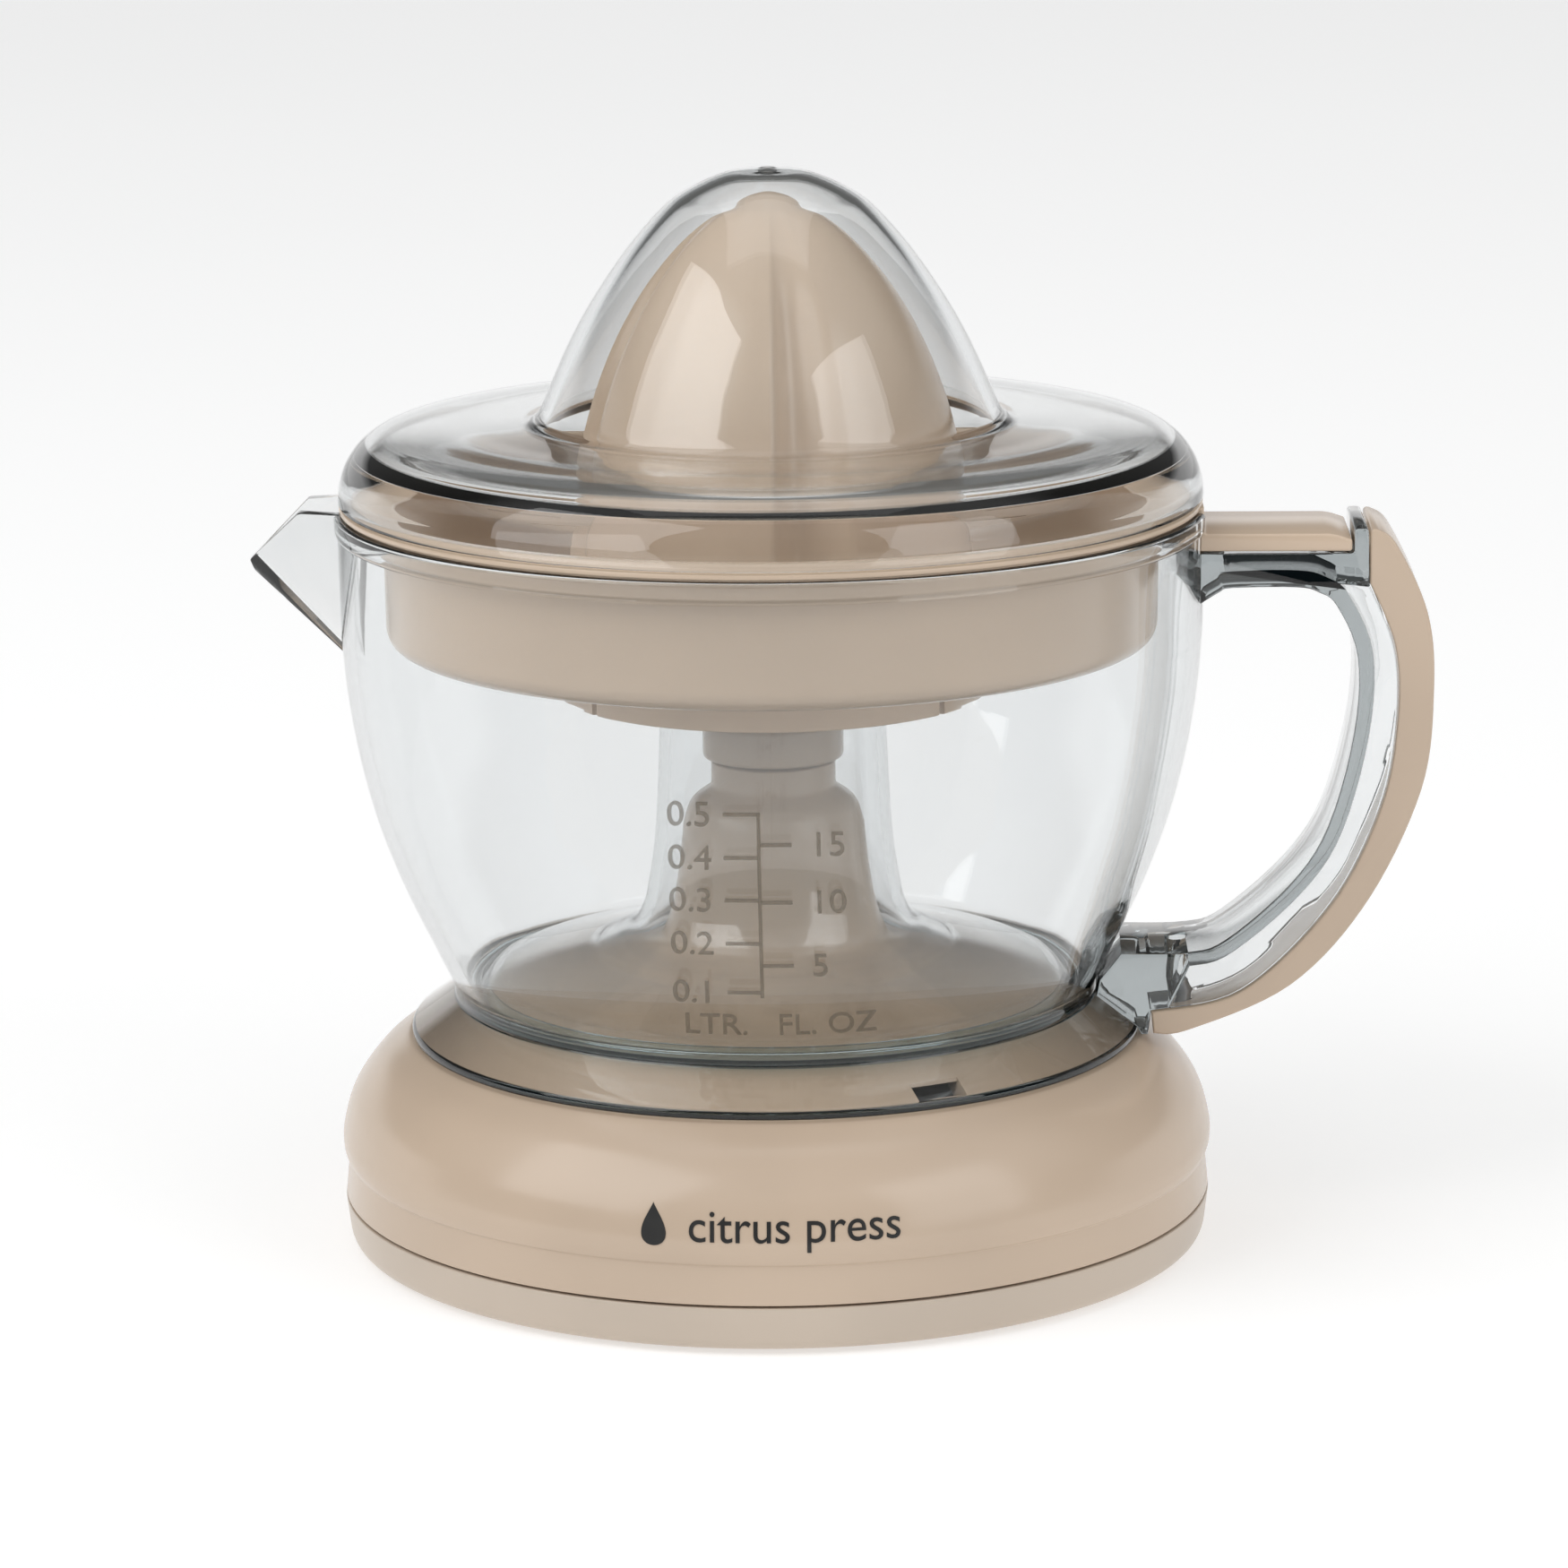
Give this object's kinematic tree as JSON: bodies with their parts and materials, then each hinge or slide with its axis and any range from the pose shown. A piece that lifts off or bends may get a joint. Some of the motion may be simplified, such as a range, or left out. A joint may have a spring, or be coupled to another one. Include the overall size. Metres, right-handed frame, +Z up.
{
  "type": "citrus press juicer",
  "caption": "Electric citrus press: clear jug with spout and handle, slotted strainer, fluted reamers and domed dust cover on a round motor base.",
  "frame": {"origin": "on the press axis at the level of the feet; the flat underside of the base lies 1 mm above it", "axes": "+Z up along the press axis, +X towards the handle, -X towards the spout, -Y the front with the jug's scale"},
  "size_m": [0.2146, 0.1614, 0.1974],
  "materials": {
    "sand_gloss": "glossy moulded beige plastic",
    "sand_satin": "satin moulded beige plastic, a little greyer",
    "clear_plastic": "clear moulded plastic with a faint blue-green edge",
    "rubber_feet": "matt soft rubber",
    "steel": "bright zinc-plated steel",
    "motor_iron": "stacked laminations, lightly oiled",
    "copper_wire": "varnished winding wire",
    "bronze": "sintered bronze",
    "white_nylon": "natural nylon",
    "black_plastic": "matt black plastic"
  },
  "bodies": {
    "base": {"lower_shell": "sand_satin", "upper_housing": "sand_gloss", "drive_tower": "sand_gloss", "foot_1": "rubber_feet", "foot_2": "rubber_feet", "foot_3": "rubber_feet", "foot_4": "rubber_feet", "base_screw_1": "steel", "base_screw_2": "steel", "base_screw_3": "steel", "cord_gland": "black_plastic", "idler_pin": "steel", "gear_plate": "steel", "plate_screw_1": "steel", "plate_screw_2": "steel", "plate_screw_3": "steel", "motor_core": "motor_iron", "motor_coil": "copper_wire", "motor_bearing_upper": "bronze", "motor_bearing_lower": "bronze", "motor_bridge": "steel", "motor_screw_1": "steel", "motor_screw_2": "steel", "motor_spacer_1": "steel", "motor_spacer_2": "steel", "tower_bush": "bronze", "switch_body": "black_plastic", "return_spring": "steel"},
    "output_gear": {"output_gear": "white_nylon"},
    "drive_shaft": {"drive_shaft": "steel"},
    "idler": {"idler_gear": "white_nylon"},
    "rotor": {"motor_rotor": "motor_iron", "motor_pinion": "bronze"},
    "plunger": {"switch_plunger": "white_nylon"},
    "jug": {"jug": "clear_plastic", "jug_tube": "clear_plastic", "jug_handle": "clear_plastic", "jug_spout": "clear_plastic", "handle_grip": "sand_gloss", "grip_screw": "steel"},
    "strainer": {"strainer": "sand_gloss"},
    "pulp_ring": {"pulp_ring": "sand_gloss"},
    "sleeve": {"drive_sleeve": "sand_gloss"},
    "small_reamer": {"small_reamer": "sand_gloss"},
    "large_reamer": {"large_reamer": "sand_gloss"},
    "cover": {"dust_cover": "clear_plastic"}
  },
  "joints": [
    {"name": "drive_spin", "type": "hinge", "parent": "base", "child": "output_gear", "pos_m": [0, 0, 0.0377], "axis": [0, 0, 1], "continuous": true},
    {"name": "drive_press", "type": "slide", "parent": "output_gear", "child": "drive_shaft", "axis": [0, 0, 1], "range_m": [-0.0025, 0], "stiffness_N_per_m": 2000, "springref_m": 0.004, "deforming": ["return_spring"]},
    {"name": "idler_spin", "type": "hinge", "parent": "base", "child": "idler", "pos_m": [-0.01998, 0.0189, 0.035], "axis": [0, 0, 1], "continuous": true},
    {"name": "rotor_spin", "type": "hinge", "parent": "base", "child": "rotor", "pos_m": [-0.032, 0, 0.02], "axis": [0, 0, 1], "continuous": true},
    {"name": "switch_press", "type": "slide", "parent": "base", "child": "plunger", "axis": [0, 0, 1], "range_m": [-0.0025, 0]},
    {"name": "jug_lift", "type": "slide", "parent": "base", "child": "jug", "axis": [0, 0, 1], "range_m": [0, 0.115]},
    {"name": "strainer_lift", "type": "slide", "parent": "jug", "child": "strainer", "axis": [0, 0, 1], "range_m": [0, 0.06]},
    {"name": "pulp_turn", "type": "hinge", "parent": "strainer", "child": "pulp_ring", "pos_m": [0, 0, 0.11], "axis": [0, 0, 1], "range_deg": [0, 11.25]},
    {"name": "sleeve_spin", "type": "hinge", "parent": "strainer", "child": "sleeve", "pos_m": [0, 0, 0.11], "axis": [0, 0, 1], "continuous": true},
    {"name": "reamer_press", "type": "slide", "parent": "sleeve", "child": "small_reamer", "axis": [0, 0, 1], "range_m": [-0.0025, 0]},
    {"name": "reamer_lift", "type": "slide", "parent": "small_reamer", "child": "large_reamer", "axis": [0, 0, 1], "range_m": [0, 0.06]},
    {"name": "cover_lift", "type": "slide", "parent": "strainer", "child": "cover", "axis": [0, 0, 1], "range_m": [0, 0.12]}
  ],
  "couplings": [
    {"joint": "idler_spin", "follows": "rotor_spin", "ratio": -0.33333},
    {"joint": "drive_spin", "follows": "rotor_spin", "ratio": 0.125},
    {"joint": "sleeve_spin", "follows": "rotor_spin", "ratio": 0.125},
    {"joint": "switch_press", "follows": "drive_press", "ratio": 1},
    {"joint": "reamer_press", "follows": "drive_press", "ratio": 1},
    {"joint": "reamer_lift", "follows": "cover_lift", "ratio": 0.5}
  ]
}
